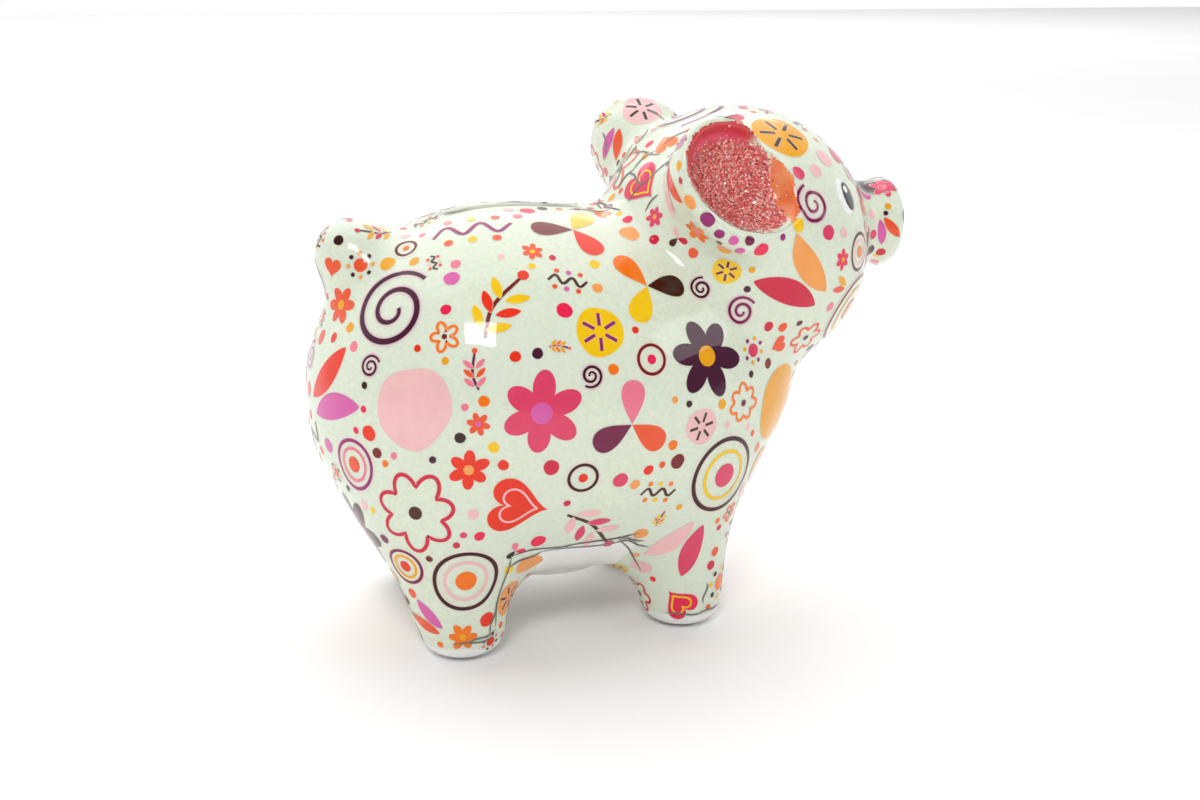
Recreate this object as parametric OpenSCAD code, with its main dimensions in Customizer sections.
// Ceramic piggy bank: hollow slip-cast castings luted together, cupped ears with a glitter coat,
// painted eyes, a coin slot along the back and a rubber stopper in the belly.
// Millimetres. +X towards the snout, +Y towards the pig's left, +Z up, floor at Z = 0.

/* [Torso] */
// Height of the torso's long axis above the floor
torso_axis_z = 63; // [61:0.5:65]
// Largest radius of the torso
torso_radius = 49; // [47:0.5:51]
// Where along the bank the torso is widest
torso_widest_x = -22.9; // [-24:0.1:-22]
// Distance from the widest section back to the end of the rump
rump_length = 60; // [59:0.5:61]
// Distance from the widest section forward to the breast
breast_length = 71; // [69:0.5:73]
// Fullness of the torso's outline, where 1 is an ellipse and less is fuller
torso_fullness = 0.87; // [0.8:0.01:1]
// Radius of the ball that fills out the breast and the neck
breast_radius = 32.5; // [31:0.5:34]
// Thickness of the fired wall
wall = 4.5; // [4:0.25:5]

/* [Head] */
// Where along the bank the head's centre is
head_x = 34.4; // [33.5:0.1:35.5]
// Height of the head's centre
head_z = 99.8; // [98:0.2:102]
// Radius of the head
head_radius = 36.5; // [35:0.5:38]
// Upward tilt of the snout in degrees
snout_tilt = 2; // [0:1:5]
// Radius of the snout at its flared rim
snout_radius = 11.8; // [11:0.1:12.6]
// Radius of each nostril
nostril_radius = 1.7; // [1.3:0.1:2]

/* [Ears] */
// Distance of the middle of each ear's rim from the middle plane
ear_y = 35; // [34:0.5:36]
// Height of the middle of each ear's rim
ear_z = 119.4; // [118:0.2:120]
// Outer radius of the ear's rim
ear_radius = 16.2; // [15.6:0.2:16.6]
// Thickness of the ear's rolled lip
ear_lip = 5; // [4.4:0.2:5.4]
// Thickness of the glitter coat in the ear
glitter_thickness = 0.5; // [0.4:0.1:0.7]

/* [Legs and tail] */
// Radius of the front feet
front_foot_radius = 11; // [10:0.25:12]
// Radius of the rear feet
rear_foot_radius = 11.6; // [10.8:0.2:12.4]
// Distance of the front legs' axes from the middle plane
front_leg_y = 22; // [21:0.5:24]
// Distance of the rear legs' axes from the middle plane
rear_leg_y = 25.5; // [24:0.5:27]
// Radius of the tail knob
tail_radius = 9.6; // [9:0.2:10.4]

/* [Slot and stopper] */
// Length of the coin slot
slot_length = 37; // [34:0.5:40]
// Width of the coin slot
slot_width = 5; // [4.6:0.1:5.6]
// Radius of the hole in the belly
belly_hole_radius = 15; // [14:0.25:16]
// Radial clearance of the stopper in its hole
stopper_clearance = 0.1; // [0.05:0.01:0.3]
// Radius of the stopper's flange
stopper_flange_radius = 18; // [17.5:0.1:18.4]

/* [Hidden] */

glaze = [0.90, 0.93, 0.89];
white_glaze = [0.96, 0.96, 0.94];
glitter_pink = [0.86, 0.42, 0.42];
eye_black = [0.03, 0.03, 0.03];
rubber_clear = [0.87, 0.86, 0.82];

torso_sides = 64;
outline_steps = 24;
head_sides = 48;
ear_sides = 40;
leg_sides = 36;

breast_x = 17.6;
breast_z = 70.5;
front_leg_x = 13;
rear_leg_x = -48.4;
front_thigh_radius = 17.5;
rear_thigh_radius = 21.5;
thigh_z = 40;
thigh_dome = 20;
foot_flat = 6;
foot_round = 6;

snout_x = 80.2;
snout_z = 103;
snout_lip = 2.4;
nostril_y = 4.2;
nostril_depth = 2.6;

ear_x = 22;
ear_forward_turn = 14;
ear_up_tilt = 15;
ear_hollow_radius = 16;
ear_hollow_offset = 9.5;
ear_hollow_ahead = 1;
ear_hollow_up = 1.6;
glitter_edge = 12;

eye_turn = 50;
eye_rise = 23;
eye_layer = 0.35;

tail_x = -69.4;
tail_z = 100.3;

slot_x = -26.9;
belly_x = -19.4;
seat_z = 16.5;
seat_radius = 18.6;
boss_radius = 21;
boss_top = 21.5;
flange_thickness = 2;
seat_gap = 0.3;
skirt_height = 7.8;
skirt_wall = 2.2;

/* Shapes shared by several castings */

// Turns a revolved shape so that its axis points along the bank.
module along_x() {
  rotate([0, 90, 0]) children();
}

// Torso outline from rump to breast, drawn inset by a wall thickness.
function torso_point(u, inset) = [
  (torso_radius - inset) * pow(max(sin(u), 0), torso_fullness),
  torso_widest_x + ((cos(u) > 0 ? breast_length : rump_length) - inset) * cos(u)
];

module torso_volume(inset) {
  translate([0, 0, torso_axis_z]) along_x() rotate_extrude($fn = torso_sides)
    polygon([for (i = [0:outline_steps]) torso_point(180 - 180 * i / outline_steps, inset)]);
  translate([breast_x, 0, breast_z]) sphere(r = breast_radius - inset, $fn = head_sides);
}

// Places children on the snout's tilted axis, with the front of the snout at the local origin.
module on_snout() {
  translate([snout_x, 0, snout_z]) rotate([0, 90 - snout_tilt, 0]) children();
}

module snout_volume() {
  ring = snout_radius - snout_lip;
  on_snout() rotate_extrude($fn = head_sides) {
    translate([ring, 0]) circle(r = snout_lip, $fn = 24);
    polygon([[0, -24], [17, -24], [13.4, -15], [11.4, -10], [11, -6], [snout_radius, 0],
             [ring, snout_lip], [0, snout_lip]]);
  }
}

module head_volume() {
  translate([head_x, 0, head_z]) sphere(r = head_radius, $fn = head_sides);
  snout_volume();
}

module head_hollow() {
  translate([head_x, 0, head_z]) sphere(r = head_radius - wall, $fn = head_sides);
  on_snout() translate([0, 0, -26]) cylinder(h = 21, r = snout_radius - wall - 0.8, $fn = 32);
}

// Leg outline from the flat of the foot up to the dome hidden in the torso.
function leg_outline(foot, thigh, inset) = concat(
  [[0, inset]],
  [for (a = [0:30:90])
    [foot_flat - inset / 2 + (foot - foot_flat - inset / 2) * sin(a),
     inset + foot_round * (1 - cos(a))]],
  [for (s = [0.25:0.25:1])
    [foot - inset + (thigh - foot) * pow(s, 1.25), inset + foot_round
     + (thigh_z - foot_round - inset) * s]],
  [for (a = [22.5:22.5:90])
    [(thigh - inset) * cos(a), thigh_z + (thigh_dome - inset) * sin(a)]]
);

module leg_volume(x, y, foot, thigh, inset) {
  translate([x, y, 0]) rotate_extrude($fn = leg_sides) polygon(leg_outline(foot, thigh, inset));
}

module front_leg_volume(side, inset) {
  leg_volume(front_leg_x, side * front_leg_y, front_foot_radius, front_thigh_radius, inset);
}

module rear_leg_volume(side, inset) {
  leg_volume(rear_leg_x, side * rear_leg_y, rear_foot_radius, rear_thigh_radius, inset);
}

// Places children on the right ear's axis, with local +Z pointing out of the cup.
module on_ear() {
  translate([ear_x, -ear_y, ear_z]) rotate([90 - ear_up_tilt, 0, ear_forward_turn]) children();
}

module ear_hollow(shrink) {
  on_ear() translate([ear_hollow_ahead, ear_hollow_up, ear_hollow_offset])
    sphere(r = ear_hollow_radius - shrink, $fn = ear_sides);
}

// Places children on the right eye's axis, with local +X pointing down the face.
module on_eye() {
  translate([head_x, 0, head_z]) rotate([0, 90 - eye_rise, -eye_turn]) children();
}

// One painted layer of the eye: an upright rounded patch on the head's surface.
module eye_patch(layer, half_width, straight, rise, shift) {
  inner = head_radius + eye_layer * layer;
  intersection() {
    on_eye() translate([-rise, shift, head_radius - 3]) {
      for (end = [-1, 1]) {
        translate([end * straight / 2, 0, 0]) cylinder(h = 6, r = half_width, $fn = 32);
      }
      translate([-straight / 2, -half_width, 0]) cube([straight, 2 * half_width, 6]);
    }
    translate([head_x, 0, head_z]) difference() {
      sphere(r = inner + eye_layer, $fn = 96);
      sphere(r = inner, $fn = 96);
    }
  }
}

module mirrored_left() {
  mirror([0, 1, 0]) children();
}

/* The castings */

// The hollow torso with its coin slot, belly hole and openings to the legs and the head.
module torso_casting() {
  difference() {
    torso_volume(0);
    difference() {
      torso_volume(wall);
      translate([belly_x, 0, 0]) cylinder(h = boss_top, r = boss_radius, $fn = 48);
    }
    head_hollow();
    for (side = [-1, 1]) {
      front_leg_volume(side, wall);
      rear_leg_volume(side, wall);
    }
    coin_slot();
    translate([belly_x, 0, -1]) cylinder(h = 40, r = belly_hole_radius, $fn = 48);
    translate([belly_x, 0, -1]) cylinder(h = seat_z + 1, r = seat_radius, $fn = 48);
  }
}

// The half of the torso on the pig's right of the mould's parting plane.
module torso_right() {
  color(glaze) intersection() {
    torso_casting();
    translate([-100, -60, 0]) cube([200, 60, 130]);
  }
}

module torso_left() {
  color(glaze) mirrored_left() torso_right();
}

module coin_slot() {
  straight = slot_length - slot_width;
  translate([slot_x, 0, torso_axis_z + 30]) {
    translate([-straight / 2, -slot_width / 2, 0]) cube([straight, slot_width, 40]);
    for (end = [-1, 1]) {
      translate([end * straight / 2, 0, 0]) cylinder(h = 40, r = slot_width / 2, $fn = 24);
    }
  }
}

// The head with its flared snout, open at the neck and scooped where the ears sit.
module head_shell() {
  color(glaze) difference() {
    head_volume();
    head_hollow();
    torso_volume(0);
    ear_hollow(0);
    mirrored_left() ear_hollow(0);
    for (side = [-1, 1]) {
      on_snout() translate([0, side * nostril_y, snout_lip - nostril_depth])
        cylinder(h = nostril_depth + 1, r = nostril_radius, $fn = 24);
    }
  }
}

module leg_front_right() {
  color(glaze) difference() {
    front_leg_volume(-1, 0);
    front_leg_volume(-1, wall);
    torso_volume(0);
  }
}

module leg_front_left() {
  color(glaze) mirrored_left() leg_front_right();
}

module leg_rear_right() {
  color(glaze) difference() {
    rear_leg_volume(-1, 0);
    rear_leg_volume(-1, wall);
    torso_volume(0);
  }
}

module leg_rear_left() {
  color(glaze) mirrored_left() leg_rear_right();
}

// A cup that opens sideways, with a thick rolled lip.
module ear_right() {
  color(glaze) difference() {
    on_ear() {
      intersection() {
        translate([0, 0, -1]) sphere(r = ear_radius, $fn = ear_sides);
        translate([0, 0, -20]) cylinder(h = 20, r = 20, $fn = ear_sides);
      }
      rotate_extrude($fn = ear_sides)
        translate([ear_radius - ear_lip / 2, 0]) circle(r = ear_lip / 2, $fn = 16);
    }
    ear_hollow(0);
    head_volume();
    torso_volume(0);
  }
}

module ear_left() {
  color(glaze) mirrored_left() ear_right();
}

module tail() {
  color(glaze) difference() {
    translate([tail_x, 0, tail_z]) sphere(r = tail_radius, $fn = 32);
    torso_volume(0);
  }
}

/* The applied layers */

module ear_glitter_right() {
  color(glitter_pink) difference() {
    ear_hollow(0);
    ear_hollow(glitter_thickness);
    on_ear() translate([ear_hollow_ahead, ear_hollow_up, 0]) difference() {
      translate([0, 0, -30]) cylinder(h = 60, r = 30, $fn = ear_sides);
      translate([0, 0, -31]) cylinder(h = 31, r = glitter_edge, $fn = ear_sides);
    }
  }
}

module ear_glitter_left() {
  color(glitter_pink) mirrored_left() ear_glitter_right();
}

module eye_white_right() {
  color(white_glaze) eye_patch(0, 3.3, 4.4, 0, -0.6);
}

module eye_white_left() {
  color(white_glaze) mirrored_left() eye_white_right();
}

module eye_pupil_right() {
  color(eye_black) eye_patch(1, 2.4, 3.8, 0, 0.2);
}

module eye_pupil_left() {
  color(eye_black) mirrored_left() eye_pupil_right();
}

module eye_glint_right() {
  color(white_glaze) eye_patch(2, 0.7, 0.8, 2, -0.5);
}

module eye_glint_left() {
  color(white_glaze) mirrored_left() eye_glint_right();
}

/* The moving piece */

// A push-in rubber stopper: a flange with a hollow skirt and a shallow finger dish below.
module belly_stopper() {
  skirt_radius = belly_hole_radius - stopper_clearance;
  flange_top = seat_z - seat_gap;
  flange_bottom = flange_top - flange_thickness;
  color(rubber_clear) translate([belly_x, 0, 0]) rotate_extrude($fn = 48)
    polygon([
      [0, flange_bottom + 0.8], [8, flange_bottom + 0.8], [9, flange_bottom],
      [stopper_flange_radius - 0.6, flange_bottom], [stopper_flange_radius, flange_bottom + 0.6],
      [stopper_flange_radius, flange_top], [skirt_radius, flange_top],
      [skirt_radius, flange_top + skirt_height - 1.2],
      [skirt_radius - 1, flange_top + skirt_height],
      [skirt_radius - skirt_wall, flange_top + skirt_height],
      [skirt_radius - skirt_wall, flange_top + 0.6], [0, flange_top + 0.6]
    ]);
}

torso_right();
torso_left();
head_shell();
leg_front_right();
leg_front_left();
leg_rear_right();
leg_rear_left();
ear_right();
ear_left();
tail();
ear_glitter_right();
ear_glitter_left();
eye_white_right();
eye_white_left();
eye_pupil_right();
eye_pupil_left();
eye_glint_right();
eye_glint_left();
belly_stopper();
